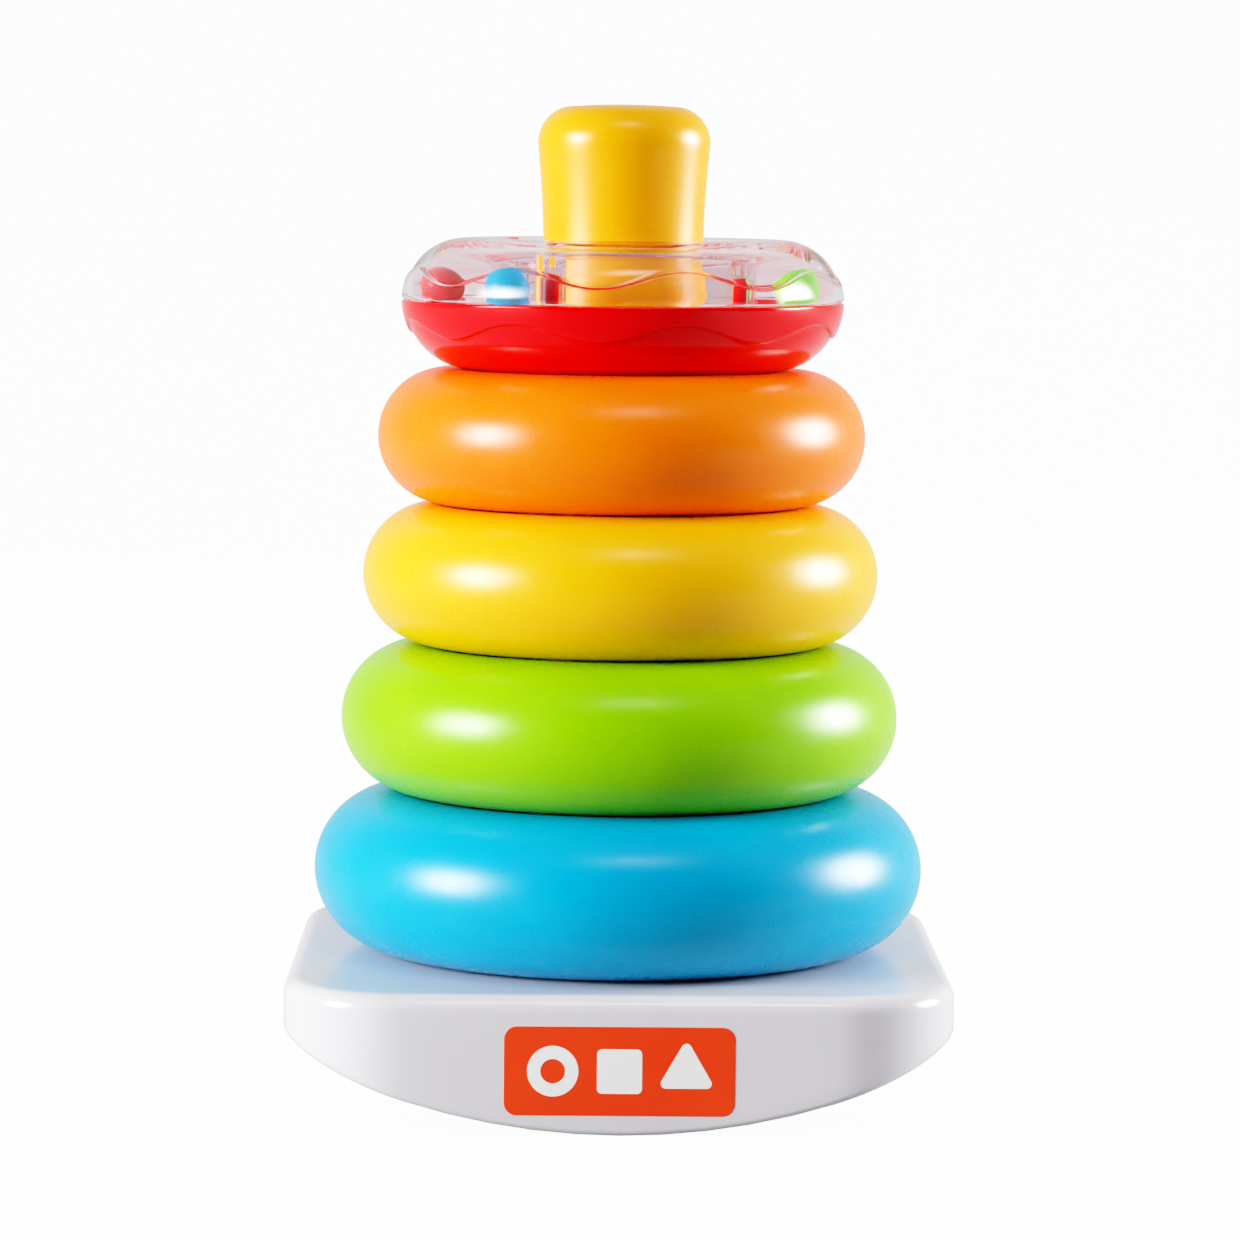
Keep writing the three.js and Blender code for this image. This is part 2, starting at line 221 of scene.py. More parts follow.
def lathe(name, outline, steps=160, angle=35):
    """Turns an outline of (radius, height) round Z. An outline that starts and ends on the
    axis makes a solid body, and any other one is closed into a tube."""
    on_axis = outline[0][0] == 0
    loops = []
    for r, z in outline[1:-1] if on_axis else outline:
        loop = []
        for i in range(steps):
            azimuth = 2 * math.pi * i / steps
            loop.append((r * math.sin(azimuth), -r * math.cos(azimuth), z))
        loops.append(loop)
    if not on_axis:
        verts, faces = loft(loops, True)
        return piece(name, verts, faces, angle)
    verts, faces = loft(loops, False)
    faces = faces[:-2]
    first, last = len(verts), len(verts) + 1
    verts += [(0, 0, outline[0][1]), (0, 0, outline[-1][1])]
    end = (len(loops) - 1) * steps
    for i in range(steps):
        j = (i + 1) % steps
        faces.append((first, j, i))
        faces.append((last, end + i, end + j))
    return piece(name, verts, faces, angle)


def arc(r, z, radius, start, stop, steps):
    """Points of an arc round (r, z), from one angle to another in degrees."""
    points = []
    for i in range(steps + 1):
        a = math.radians(start + (stop - start) * i / steps)
        points.append((r + radius * math.cos(a), z + radius * math.sin(a)))
    return points


def rounded_square(side, corner, corner_steps=14, side_steps=10):
    """Points round a square with round corners, the same number for every size."""
    reach = side / 2 - corner
    corners = [(reach, reach), (-reach, reach), (-reach, -reach), (reach, -reach)]
    points = []
    for quarter, (cx, cy) in enumerate(corners):
        start = quarter * 90
        points += arc(cx, cy, corner, start, start + 90, corner_steps)
        ax, ay = points[-1]
        nx, ny = corners[(quarter + 1) % 4]
        bx = nx + corner * math.cos(math.radians(start + 90))
        by = ny + corner * math.sin(math.radians(start + 90))
        for i in range(1, side_steps):
            t = i / side_steps
            points.append((ax + (bx - ax) * t, ay + (by - ay) * t))
    return points


def boolean(target, cutter, operation):
    """Cuts or joins, then removes the cutter and keeps the result as the target's mesh."""
    modifier = target.modifiers.new("boolean", "BOOLEAN")
    modifier.operation = operation
    modifier.solver = "EXACT"
    modifier.object = cutter
    graph = bpy.context.evaluated_depsgraph_get()
    mesh = bpy.data.meshes.new_from_object(target.evaluated_get(graph))
    target.modifiers.clear()
    old = target.data
    target.data = mesh
    bpy.data.meshes.remove(old)
    gone = cutter.data
    bpy.data.objects.remove(cutter)
    bpy.data.meshes.remove(gone)


def rod(radius, low, high, x=0, y=0, steps=48):
    """An upright cylinder, for cutting and joining."""
    loops = []
    for z in (low, high):
        ring = []
        for i in range(steps):
            a = 2 * math.pi * i / steps
            ring.append((x + radius * math.cos(a), y + radius * math.sin(a), z))
        loops.append(ring)
    verts, faces = loft(loops, False)
    return piece("rod", verts, faces)


def from_front(distance, degrees):
    """The place that lies this far from the axis, at this angle from the front."""
    a = math.radians(degrees)
    return distance * math.sin(a), -distance * math.cos(a)


def settle(obj, body, slot, material, *nodes):
    """Gives a piece its body and material, and hides the CAD nodes that it stands for. The slot,
    its finish, is not used.
    """
    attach(obj, body)
    obj.data.materials.clear()
    obj.data.materials.append(material)
    if nodes:
        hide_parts(*nodes)


# ---------------------------------------------------------------- materials
def srgb(r, g, b):
    """A colour given from 0 to 255, as the linear values that a shader takes."""

    def linear(c):
        c /= 255
        return c / 12.92 if c <= 0.04045 else ((c + 0.055) / 1.055) ** 2.4

    return linear(r), linear(g), linear(b), 1


class Nodes:
    """A material's node tree, with the few node set-ups that the plastics share."""

    def __init__(self, name):
        self.material = bpy.data.materials.new(name)
        self.material.use_nodes = True
        self.tree = self.material.node_tree
        self.shader = self.tree.nodes["Principled BSDF"]
        self.place = self.add("ShaderNodeTexCoord").outputs["Object"]

    def add(self, kind, **values):
        node = self.tree.nodes.new(kind)
        for key, value in values.items():
            setattr(node, key, value)
        return node

    def join(self, source, target):
        self.tree.links.new(source, target)

    def noise(self, size, detail=3, roughness=0.5):
        """Noise whose lumps are about this size, in metres."""
        node = self.add("ShaderNodeTexNoise")
        node.inputs["Scale"].default_value = 1 / size
        node.inputs["Detail"].default_value = detail
        node.inputs["Roughness"].default_value = roughness
        self.join(self.place, node.inputs["Vector"])
        return node.outputs["Fac"]

    def spread(self, source, low, high):
        """Brings the middle of a noise, where most of it lies, to a range."""
        node = self.add("ShaderNodeMapRange")
        node.inputs["From Min"].default_value = 0.3
        node.inputs["From Max"].default_value = 0.7
        node.inputs["To Min"].default_value = low
        node.inputs["To Max"].default_value = high
        self.join(source, node.inputs["Value"])
        return node.outputs["Result"]

    def blend(self, factor, a, b):
        node = self.add("ShaderNodeMix", data_type="RGBA")
        node.inputs["A"].default_value = a
        node.inputs["B"].default_value = b
        self.join(factor, node.inputs["Factor"])
        return node.outputs["Result"]

    def bump(self, height, strength, distance, normal=None):
        node = self.add("ShaderNodeBump")
        node.inputs["Strength"].default_value = strength
        node.inputs["Distance"].default_value = distance
        self.join(height, node.inputs["Height"])
        if normal:
            self.join(normal, node.inputs["Normal"])
        return node.outputs["Normal"]

    def set(self, **values):
        for key, value in values.items():
            self.shader.inputs[key.replace("_", " ")].default_value = value


def plastic(name, colour, shade, roughness, grain, grain_depth):
    """Moulded plastic: a slow drift of colour, uneven gloss, and a fine moulded grain."""
    n = Nodes(name)
    drift = n.spread(n.noise(18 * MM, 2), 0, 1)
    n.join(n.blend(drift, colour, shade), n.shader.inputs["Base Color"])
    uneven = n.spread(n.noise(6 * MM, 3), roughness * 0.9, roughness * 1.12)
    n.join(uneven, n.shader.inputs["Roughness"])
    fine = n.bump(n.noise(grain, 3, 0.6), 1, grain_depth)
    slow = n.bump(n.noise(9 * MM, 2), 0.5, 0.02 * MM, fine)
    n.join(slow, n.shader.inputs["Normal"])
    n.set(Specular_IOR_Level=0.45)
    return n.material


def ring_plastic(name, colour, shade):
    return plastic(name, colour, shade, 0.28, 0.35 * MM, 0.0005 * MM)


def bead_plastic(name, colour, shade):
    return plastic(name, colour, shade, 0.16, MM, 0.004 * MM)


def clear_plastic():
    """Polished clear plastic with a faint haze and a slight unevenness. Its tint is partly its
    own and partly painted shade.
    """
    n = Nodes("clear_polystyrene")
    # the tint is partly the plastic's own and partly painted shade: it darkens what is seen
    # through the cover, in place of the shadow that the cover, which casts none, would throw
    n.set(Base_Color=(0.89, 0.83, 0.855, 1), Transmission_Weight=1.0, IOR=1.5)
    haze = n.spread(n.noise(5 * MM, 3), 0.0, 0.02)
    n.join(haze, n.shader.inputs["Roughness"])
    n.join(n.bump(n.noise(7 * MM, 2), 0.4, 0.015 * MM), n.shader.inputs["Normal"])
    return n.material


def screw_metal():
    """Zinc-plated steel, patchy in colour and gloss."""
    n = Nodes("zinc_plate")
    n.set(Metallic=1.0)
    patches = n.spread(n.noise(0.8 * MM), 0, 1)
    colour = n.blend(patches, srgb(196, 198, 202), srgb(164, 166, 168))
    n.join(colour, n.shader.inputs["Base Color"])
    n.join(n.spread(n.noise(0.4 * MM), 0.25, 0.45), n.shader.inputs["Roughness"])
    return n.material


CLEAR = clear_plastic()
STEEL = screw_metal()
# colour, the shade it drifts to, roughness, size of the grain, depth of the grain
BASE_WHITE = plastic(
    "base_white_plastic", srgb(218, 215, 221), srgb(214, 211, 217), 0.12, 0.5 * MM, 0.0005 * MM
)
POST_YELLOW = plastic(
    "post_yellow_plastic", srgb(247, 166, 10), srgb(243, 160, 6), 0.28, 0.4 * MM, 0.0006 * MM
)
RATTLE_RED = plastic(
    "rattle_red_plastic", srgb(236, 6, 14), srgb(230, 4, 12), 0.06, 1.5 * MM, 0.002 * MM
)
LABEL_ORANGE = plastic(
    "label_orange_film", srgb(255, 74, 36), srgb(253, 70, 33), 0.4, 0.3 * MM, 0.003 * MM
)
LABEL_WHITE = plastic(
    "label_white_ink", srgb(250, 248, 247), srgb(245, 243, 242), 0.45, 0.3 * MM, 0.003 * MM
)
RING_LOOKS = {
    "blue": ring_plastic("ring_blue_plastic", srgb(0, 160, 212), srgb(0, 153, 206)),
    "green": ring_plastic("ring_green_plastic", srgb(134, 200, 0), srgb(127, 194, 0)),
    "yellow": ring_plastic("ring_yellow_plastic", srgb(247, 180, 20), srgb(244, 174, 14)),
    "orange": ring_plastic("ring_orange_plastic", srgb(255, 118, 0), srgb(253, 111, 0)),
}
BEAD_LOOKS = {
    "red": bead_plastic("bead_red_plastic", srgb(206, 8, 16), srgb(198, 6, 14)),
    "blue": bead_plastic("bead_blue_plastic", srgb(0, 142, 190), srgb(0, 132, 182)),
    "green": bead_plastic("bead_green_plastic", srgb(104, 196, 16), srgb(96, 188, 12)),
}


# ---------------------------------------------------------------- rocker base
def rocker_height(x):
    return ROCKER_RADIUS - math.sqrt(ROCKER_RADIUS**2 - x**2)


def base_loop(inset):
    return rounded_square(BASE_SIDE - 2 * inset, BASE_CORNER - inset)


def make_base():
    """The white shell: a loop of sections from inside the skirt's foot, up over the top
    plate, down through the post's opening and back along the plate's underside."""

    def over_rocker(inset, height):
        return [(x, y, rocker_height(x) + height) for x, y in base_loop(inset)]

    def level(inset, z):
        return [(x, y, z) for x, y in base_loop(inset)]

    def towards_opening(share, z, radius):
        points = []
        for x, y in base_loop(BASE_EDGE):
            far = math.hypot(x, y)
            cx, cy = x / far * radius, y / far * radius
            points.append((x + (cx - x) * share, y + (cy - y) * share, z))
        return points

    opening = POST_FOOT + FIT_GAP
    brim = opening + OPENING_EDGE
    plate_bottom = BASE_TOP - BASE_WALL
    loops = [over_rocker(BASE_WALL, 0), over_rocker(BASE_LIP, 0)]
    for a in (20, 45, 70, 90):
        t = math.radians(a)
        loops.append(
            over_rocker(BASE_LIP * (1 - math.sin(t)), BASE_LIP * (1 - math.cos(t)))
        )
    wall_top = BASE_TOP - BASE_EDGE
    for share in (0.15, 0.5, 0.85, 0.97):
        loop = []
        for x, y in base_loop(0):
            foot = rocker_height(x) + BASE_LIP
            loop.append((x, y, foot + (wall_top - foot) * share))
        loops.append(loop)
    for i in range(9):
        t = math.radians(90 * i / 8)
        inset = BASE_EDGE * (1 - math.cos(t))
        loops.append(level(inset, wall_top + BASE_EDGE * math.sin(t)))
    for share in (0.04, 0.35, 0.7, 0.96):
        loops.append(towards_opening(share, BASE_TOP, brim))
    loops.append(towards_opening(1, BASE_TOP, brim))
    halfway = OPENING_EDGE * 0.3
    loops.append(towards_opening(1, BASE_TOP - halfway, opening + halfway))
    loops.append(towards_opening(1, BASE_TOP - OPENING_EDGE, opening))
    loops.append(towards_opening(1, plate_bottom, opening))
    loops.append(towards_opening(0.5, plate_bottom, opening))
    loops.append(level(BASE_WALL + OPENING_EDGE, plate_bottom))
    loops.append(level(BASE_WALL, plate_bottom - OPENING_EDGE))
    verts, faces = loft(loops, True)
    base = piece("base_body", verts, faces, 30)
    settle(base, "base", "base_white", BASE_WHITE, "base_shell")


def make_sole():
    """The curved plate that closes the base, with a cup round each screw."""
    inset = BASE_WALL + FIT_GAP
    half = BASE_SIDE / 2 - inset
    corner = BASE_CORNER - inset

    def depth_at(x):
        over = abs(x) - (half - corner)
        if over <= 0:
            return half
        return half - corner + math.sqrt(max(corner**2 - over**2, 0))

    columns, rows = 96, 9
    bm = bmesh.new()
    tops, bottoms = [], []
    for i in range(columns + 1):
        a = math.pi * i / columns
        x = -half * math.cos(a)
        reach = max(depth_at(x), SOLE_TIP)
        for store, lift in ((bottoms, 0), (tops, BASE_WALL)):
            line = []
            for j in range(rows):
                y = -reach + 2 * reach * j / (rows - 1)
                line.append(bm.verts.new((x, y, rocker_height(x) + lift)))
            store.append(line)
    for i in range(columns):
        for j in range(rows - 1):
            bm.faces.new(
                (bottoms[i][j], bottoms[i][j + 1], bottoms[i + 1][j + 1], bottoms[i + 1][j])
            )
            bm.faces.new((tops[i][j], tops[i + 1][j], tops[i + 1][j + 1], tops[i][j + 1]))
        for j in (0, rows - 1):
            bm.faces.new((bottoms[i][j], bottoms[i + 1][j], tops[i + 1][j], tops[i][j]))
    for i in (0, columns):
        for j in range(rows - 1):
            bm.faces.new((bottoms[i][j], tops[i][j], tops[i][j + 1], bottoms[i][j + 1]))
    bmesh.ops.recalc_face_normals(bm, faces=bm.faces)
    mesh = bpy.data.meshes.new("sole_plate")
    bm.to_mesh(mesh)
    bm.free()
    sole = bpy.data.objects.new("sole_plate", mesh)
    bpy.context.scene.collection.objects.link(sole)
    for i in range(4):
        spot = centre_of(f"sole_screw_{i + 1}")
        x, y = spot[0], spot[1]
        foot = rocker_height(abs(x)) + CUP_ROOT
        boolean(sole, rod(CUP_RADIUS, foot, CUP_TOP, x, y), "UNION")
        head_hole = rod(HEAD_RADIUS + HEAD_SPACE, 0, CUP_TOP - CUP_ROOF, x, y)
        boolean(sole, head_hole, "DIFFERENCE")
        boolean(sole, rod(SHANK_RADIUS + SHANK_SPACE, 0, CUP_TOP + PAST, x, y), "DIFFERENCE")
    smooth_by_angle(sole.data, 30)
    settle(sole, "base", "base_white", BASE_WHITE, "rocker_sole")


def cross(reach, half_width, low, high):
    """An upright cross-shaped bar, to cut a screw's recess."""
    outline = []
    for c, s in ((1, 0), (0, 1), (-1, 0), (0, -1)):
        for x, y in ((reach, -half_width), (reach, half_width), (half_width, half_width)):
            outline.append((x * c - y * s, x * s + y * c))
    verts, faces = loft([[(x, y, z) for x, y in outline] for z in (low, high)], False)
    return piece("cross", verts, faces)


def make_screw(node):
    """A pan-head screw that points up, with a cross recess in its head."""
    spot = centre_of(node)
    bottom, top = low_of(node)[2], high_of(node)[2]
    seat = bottom + HEAD_HEIGHT
    r = HEAD_RADIUS
    root = SHANK_RADIUS * 0.78
    outline = [(0, bottom), (r * 0.35, bottom)]
    outline += arc(r * 0.35, bottom + r * 0.5, r * 0.5, -90, -10, 5)[1:]
    outline += [(r, bottom + HEAD_HEIGHT * 0.55), (r, seat), (SHANK_RADIUS, seat)]
    z = seat
    while z + THREAD_PITCH < top - SCREW_POINT:
        outline += [(root, z + THREAD_PITCH * 0.15), (root, z + THREAD_PITCH * 0.6)]
        outline += [(SHANK_RADIUS, z + THREAD_PITCH * 0.8)]
        z += THREAD_PITCH
    outline += [(SHANK_RADIUS * 0.75, z), (SHANK_RADIUS * 0.3, top), (0, top)]
    made = lathe(node + "_fine", outline, steps=40, angle=30)
    recess = cross(r * RECESS_REACH, RECESS_HALF_WIDTH, bottom - PAST, bottom + RECESS_DEPTH)
    boolean(made, recess, "DIFFERENCE")
    smooth_by_angle(made.data, 30)
    made.data.transform(Matrix.Translation((spot[0], spot[1], 0)))
    settle(made, "base", "screw_steel", STEEL, node)


# ---------------------------------------------------------------- post
def knob_outline(inset):
    """The knob from its neck to the middle of its crown, this far in from its outside."""
    points = []
    for i in range(1, 13):
        t = i / 12
        r = POST_NECK + (KNOB_RADIUS - POST_NECK) * t**1.7 - inset
        points.append((r, NECK_HEIGHT + (KNOB_HEIGHT - NECK_HEIGHT) * t))
    across = KNOB_RADIUS - KNOB_FLAT - inset
    shoulder = POST_TOP - KNOB_CROWN - inset
    for i in range(1, 17):
        a = math.radians(90 * i / 16)
        z = KNOB_HEIGHT + (shoulder - KNOB_HEIGHT) * math.sin(a)
        points.append((KNOB_FLAT + across * math.cos(a), z))
    for share in (0.8, 0.6, 0.4, 0.2, 0):
        points.append((KNOB_FLAT * share, shoulder + KNOB_CROWN * (1 - share**2)))
    return points


def make_post():
    """The hollow post with its knob, and the flange at its foot."""
    outside = [(FLANGE_RADIUS, FLANGE_BOTTOM), (FLANGE_RADIUS, FLANGE_TOP)]
    outside += [(POST_FOOT, FLANGE_TOP)]
    for i in range(1, 13):
        t = i / 12
        outside.append(
            (POST_FOOT + (POST_NECK - POST_FOOT) * t, FLANGE_TOP + (NECK_HEIGHT - FLANGE_TOP) * t)
        )
    outside += knob_outline(0)
    inside = [(POST_FOOT - POST_WALL, FLANGE_BOTTOM), (POST_NECK - POST_WALL, NECK_HEIGHT)]
    inside += knob_outline(POST_WALL)
    outline = list(reversed(inside)) + outside
    post = lathe("post_and_knob", outline, steps=128, angle=40)
    settle(post, "base", "post_yellow", POST_YELLOW, "post")


# ---------------------------------------------------------------- hollow rings
def torus(name, middle, tube, height, around, across):
    """A round tube bent round Z, from its middle's radius and its own."""
    loops = []
    for i in range(around):
        a = 2 * math.pi * i / around
        loop = []
        for j in range(across):
            b = 2 * math.pi * j / across
            r = middle + tube * math.cos(b)
            loop.append((r * math.sin(a), -r * math.cos(a), height + tube * math.sin(b)))
        loops.append(loop)
    verts, faces = loft(loops, True)
    return piece(name, verts, faces, 40)


def make_ring(colour):
    """A hollow ring, with a small vent hole in the side that faces the post."""
    node = "ring_" + colour
    tube = size_of(node)[2] / 2
    middle = size_of(node)[0] / 2 - tube
    height = centre_of(node)[2]
    ring = torus(node + "_moulding", middle, tube, height, 192, 72)
    boolean(ring, torus("cavity", middle, tube - RING_WALL, height, 64, 24), "DIFFERENCE")
    vent = rod(VENT_RADIUS, -RING_WALL, RING_WALL, 0, 0, 24)
    place = Matrix.Translation((0, middle - tube + RING_WALL / 2, height - tube * 0.1))
    vent.data.transform(place @ Matrix.Rotation(math.radians(90), 4, "X"))
    boolean(ring, vent, "DIFFERENCE")
    smooth_by_angle(ring.data, 40)
    settle(ring, colour + "_ring", node, RING_LOOKS[colour], node)


# ---------------------------------------------------------------- rattle ring
def wave(azimuth):
    """How far the moulded wave stands above its mean height at this azimuth."""
    return WAVE_SWING * math.cos(WAVES * (azimuth - math.radians(WAVE_CREST)))


def wavy_side(centre_r, centre_z, radius, mean, sign, azimuth):
    """The rounded side from the seam to the flat. It steps in past the wavy edge, and is
    back on the round where it meets the flat. The sign is 1 above the seam, -1 below it."""
    edge = math.asin((mean + sign * wave(azimuth)) / radius)
    width = WAVE_EASE / radius
    outline = []

    def add(angle, step):
        out = (radius - step) * math.cos(angle)
        up = (radius - step) * math.sin(angle)
        outline.append((centre_r + out, centre_z + sign * up))

    for i in range(7):
        add((edge - width * 2) * i / 6, 0)
    for across, share in ((-1, 0), (-0.5, 0.12), (0, 0.5), (0.5, 0.88), (1, 1)):
        add(edge + width * across, WAVE_STEP * share)
    for i in range(1, 15):
        angle = edge + width + (math.pi / 2 - edge - width) * i / 14
        fade = (angle - edge) / (math.pi / 2 - edge)
        add(angle, WAVE_STEP - WAVE_STEP * fade)
    return outline


def hub_rods(radius, low, high):
    """A rod at each peg round the hub, to join or cut."""
    return [rod(radius, low, high, *from_front(BOSS_AT, a), 40) for a in BOSS_ANGLES]


def wavy_lathe(name, outline_at):
    """Turns an outline that changes with the azimuth round Z, as a closed tube."""
    loops = []
    for i in range(AROUND):
        azimuth = 2 * math.pi * i / AROUND
        s, c = math.sin(azimuth), math.cos(azimuth)
        loops.append([(r * s, -r * c, z) for r, z in outline_at(azimuth)])
    verts, faces = loft(loops, True)
    return piece(name, verts, faces, 40)


def make_cover():
    """The clear half: a domed shell with a hub tube, and a socket over each peg."""
    radius = RATTLE_TOP - SEAM
    side = RATTLE_RADIUS - radius
    inner = radius - COVER_WALL
    low = SEAM + SEAM_GAP
    ceiling = math.sqrt(inner**2 - (side - HUB_RADIUS) ** 2)
    at_hub = math.degrees(math.atan2(ceiling, HUB_RADIUS - side))
    fixed = arc(RATTLE_HOLE + HOLE_EDGE, RATTLE_TOP - HOLE_EDGE, HOLE_EDGE, 90, 180, 8)
    fixed += [(RATTLE_HOLE, SEAM + HOLE_ROW), (RATTLE_HOLE, low)]
    fixed += [(HUB_RADIUS, low), (HUB_RADIUS, SEAM + HUB_ROW)]
    fixed += arc(side, SEAM, inner, at_hub, 1, 24)
    fixed += [(side + inner, low)]

    def outline_at(azimuth):
        wavy = wavy_side(side, SEAM, radius, COVER_WAVE, 1, azimuth)
        rim = RATTLE_RADIUS - SEAM_EDGE * 0.6
        return [(rim - COVER_CHAMFER, low), (rim, low + COVER_CHAMFER)] + wavy[1:] + fixed

    cover = wavy_lathe("clear_cover_moulding", outline_at)
    for tube in hub_rods(BOSS_RADIUS, low, SEAM + ceiling + BOSS_ROOT):
        boolean(cover, tube, "UNION")
    trim = rod(RATTLE_HOLE - HOLE_CLEAR, SEAM - PAST, SEAM + COVER_TRIM, 0, 0, AROUND)
    boolean(cover, trim, "DIFFERENCE")
    socket_radius, socket_top = PEG_RADIUS + PEG_SPACE, SEAM + PEG_HEIGHT + PEG_HEADROOM
    for hole in hub_rods(socket_radius, SEAM - PAST, socket_top):
        boolean(cover, hole, "DIFFERENCE")
    smooth_by_angle(cover.data, 40)
    cover.visible_shadow = False
    settle(cover, "rattle_ring", "clear_plastic", CLEAR, "clear_cover")


def make_shell():
    """The red half: a bowl with a hub round its hole, a ledge for the tray and four pegs."""
    radius = SEAM - RATTLE_BOTTOM
    side = RATTLE_RADIUS - radius
    inner = radius - SHELL_WALL
    top = SEAM - SEAM_GAP
    ledge = TRAY_BOTTOM + LEDGE_GAP
    cavity_inner = HUB_RADIUS + SHELL_HUB_WALL
    ledge_angle = -math.degrees(math.asin(ledge / inner))
    floor_angle = -math.degrees(math.acos((cavity_inner - side) / inner))
    fixed = arc(RATTLE_HOLE + HOLE_EDGE, RATTLE_BOTTOM + HOLE_EDGE, HOLE_EDGE, -90, -180, 8)
    fixed += [(RATTLE_HOLE, SEAM - HOLE_ROW), (RATTLE_HOLE, top)]
    fixed += [(HUB_RADIUS, top), (HUB_RADIUS, SEAM - ledge), (cavity_inner, SEAM - ledge)]
    fixed += arc(side, SEAM, inner, floor_angle, ledge_angle, 20)
    fixed += [(side + inner, top)]

    def outline_at(azimuth):
        wavy = wavy_side(side, SEAM, radius, SHELL_WAVE, -1, azimuth)
        edge = arc(RATTLE_RADIUS - SEAM_EDGE, top - SEAM_EDGE, SEAM_EDGE, 90, 0, 5)
        return edge + wavy[1:] + fixed

    shell = wavy_lathe("rattle_shell_moulding", outline_at)
    for tube in hub_rods(BOSS_RADIUS, SEAM - ledge - BOSS_DEPTH, top):
        boolean(shell, tube, "UNION")
    trim = rod(RATTLE_HOLE, SEAM - SHELL_TRIM, SEAM + PAST, 0, 0, AROUND)
    boolean(shell, trim, "DIFFERENCE")
    for peg in hub_rods(PEG_RADIUS, SEAM - PEG_ROOT, SEAM + PEG_HEIGHT):
        boolean(shell, peg, "UNION")
    smooth_by_angle(shell.data, 40)
    settle(shell, "rattle_ring", "rattle_red", RATTLE_RED, "rattle_shell")


def make_tray():
    """The flat ring that the beads lie on, with a notch for each peg's boss."""
    inner = SEAM - RATTLE_BOTTOM - SHELL_WALL
    side = RATTLE_RADIUS - (SEAM - RATTLE_BOTTOM)
    rim = side + math.sqrt(inner**2 - TRAY_BOTTOM**2) - FIT_GAP
    start = HUB_RADIUS + FIT_GAP
    top, bottom = SEAM - TRAY_DEPTH, SEAM - TRAY_BOTTOM
    outline = [(start, bottom), (rim, bottom), (rim, top - TRAY_EDGE), (rim - TRAY_EDGE, top)]
    outline += [(start + TRAY_EDGE, top), (start, top - TRAY_EDGE)]
    tray = lathe("bead_tray_moulding", outline, steps=160, angle=40)
    for slot in hub_rods(BOSS_RADIUS + FIT_GAP, bottom - PAST, top + PAST):
        boolean(tray, slot, "DIFFERENCE")
    smooth_by_angle(tray.data, 40)
    settle(tray, "rattle_ring", "rattle_red", RATTLE_RED, "bead_tray")


def make_bead(colour):
    """A moulded ball, with the faint seam of its mould."""
    node = "bead_" + colour
    middle = centre_of(node)
    radius = size_of(node)[0] / 2
    steps = 40
    outline = [(0, -radius)]
    for i in range(1, steps):
        a = math.pi * (i / steps - 0.5)
        seam = BEAD_SEAM * math.exp(-((a / BEAD_SEAM_WIDTH) ** 2))
        outline.append(((radius + seam) * math.cos(a), (radius + seam) * math.sin(a)))
    outline += [(0, radius)]
    bead = lathe(node + "_moulding", outline, steps=64, angle=40)
    bead.data.transform(Matrix.Translation(middle))
    settle(bead, colour + "_bead", node, BEAD_LOOKS[colour], node)


# ---------------------------------------------------------------- label
def make_label():
    """The sticker on the front. Gives back where its face is and how high its middle is."""
    low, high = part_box("front_label")
    width, height = high[0] - low[0], high[2] - low[2]
    middle = (low[2] + high[2]) / 2
    behind = -BASE_SIDE / 2
    front = behind - LABEL_THICK
    across, up = width / 2 - LABEL_CORNER, height / 2 - LABEL_CORNER
    corners = ((across, up), (-across, up), (-across, -up), (across, -up))

    def outline(inset):
        points = []
        for quarter, (x, z) in enumerate(corners):
            start = 90 * quarter
            points += arc(x, z, LABEL_CORNER - inset, start, start + 90, 10)
        return points

    loops = []
    bevel_start = behind - LABEL_THICK * 0.6
    for inset, y in ((0, behind + LABEL_TUCK), (0, bevel_start), (LABEL_BEVEL, front)):
        loops.append([(x, y, middle + z) for x, z in outline(inset)])
    verts, faces = loft(loops, False)
    label = piece("front_sticker", verts, faces, 20)
    settle(label, "base", "label_orange", LABEL_ORANGE, "front_label")
    return front, middle


def make_print(front, middle):
    """Three plain shapes in white: a ring, a square and a triangle."""
    verts, faces = [], []
    back, face = front + INK_TUCK, front - INK_THICK

    def slab(points):
        start = len(verts)
        count = len(points)
        verts.extend((x, back, middle + z) for x, z in points)
        verts.extend((x, face, middle + z) for x, z in points)
        faces.append(tuple(range(start + count, start + 2 * count)))
        faces.append(tuple(reversed(range(start, start + count))))
        for i in range(count):
            j = (i + 1) % count
            faces.append((start + i, start + j, start + count + j, start + count + i))

    def hoop(centre, outer, inner):
        start = len(verts)
        steps = 64
        for radius, y in ((outer, back), (outer, face), (inner, face), (inner, back)):
            circle = arc(centre, 0, radius, 0, 360, steps)[:-1]
            verts.extend((x, y, middle + z) for x, z in circle)
        for row in range(4):
            a, b = start + row * steps, start + (row + 1) % 4 * steps
            for i in range(steps):
                j = (i + 1) % steps
                faces.append((a + i, a + j, b + j, b + i))

    def polygon(centre, count, reach, first):
        """A regular polygon with round corners, the first of them at this angle."""
        points = []
        turn = 360 / count
        for i in range(count):
            angle = first + turn * i
            x = centre + reach * math.cos(math.radians(angle))
            z = reach * math.sin(math.radians(angle))
            points += arc(x, z, INK_ROUND, angle - turn / 2, angle + turn / 2, 8)
        return points

    hoop(-INK_PITCH, HOOP_OUTER, HOOP_INNER)
    slab(polygon(0, 4, SQUARE_REACH, 135))
    slab(polygon(INK_PITCH, 3, TRIANGLE_REACH, 90))
    inks = piece("front_print", verts, faces, 20)
    settle(inks, "base", "base_white", LABEL_WHITE)


# ---------------------------------------------------------------- studio
CAMERA_DISTANCE = 1.034
CAMERA_HEIGHT = 0.1901
CAMERA_PITCH = 5.258  # degrees down
CAMERA_TURN = -0.6  # degrees from the front
CAMERA_ROLL = 0.52
CAMERA_LENS = 146.2

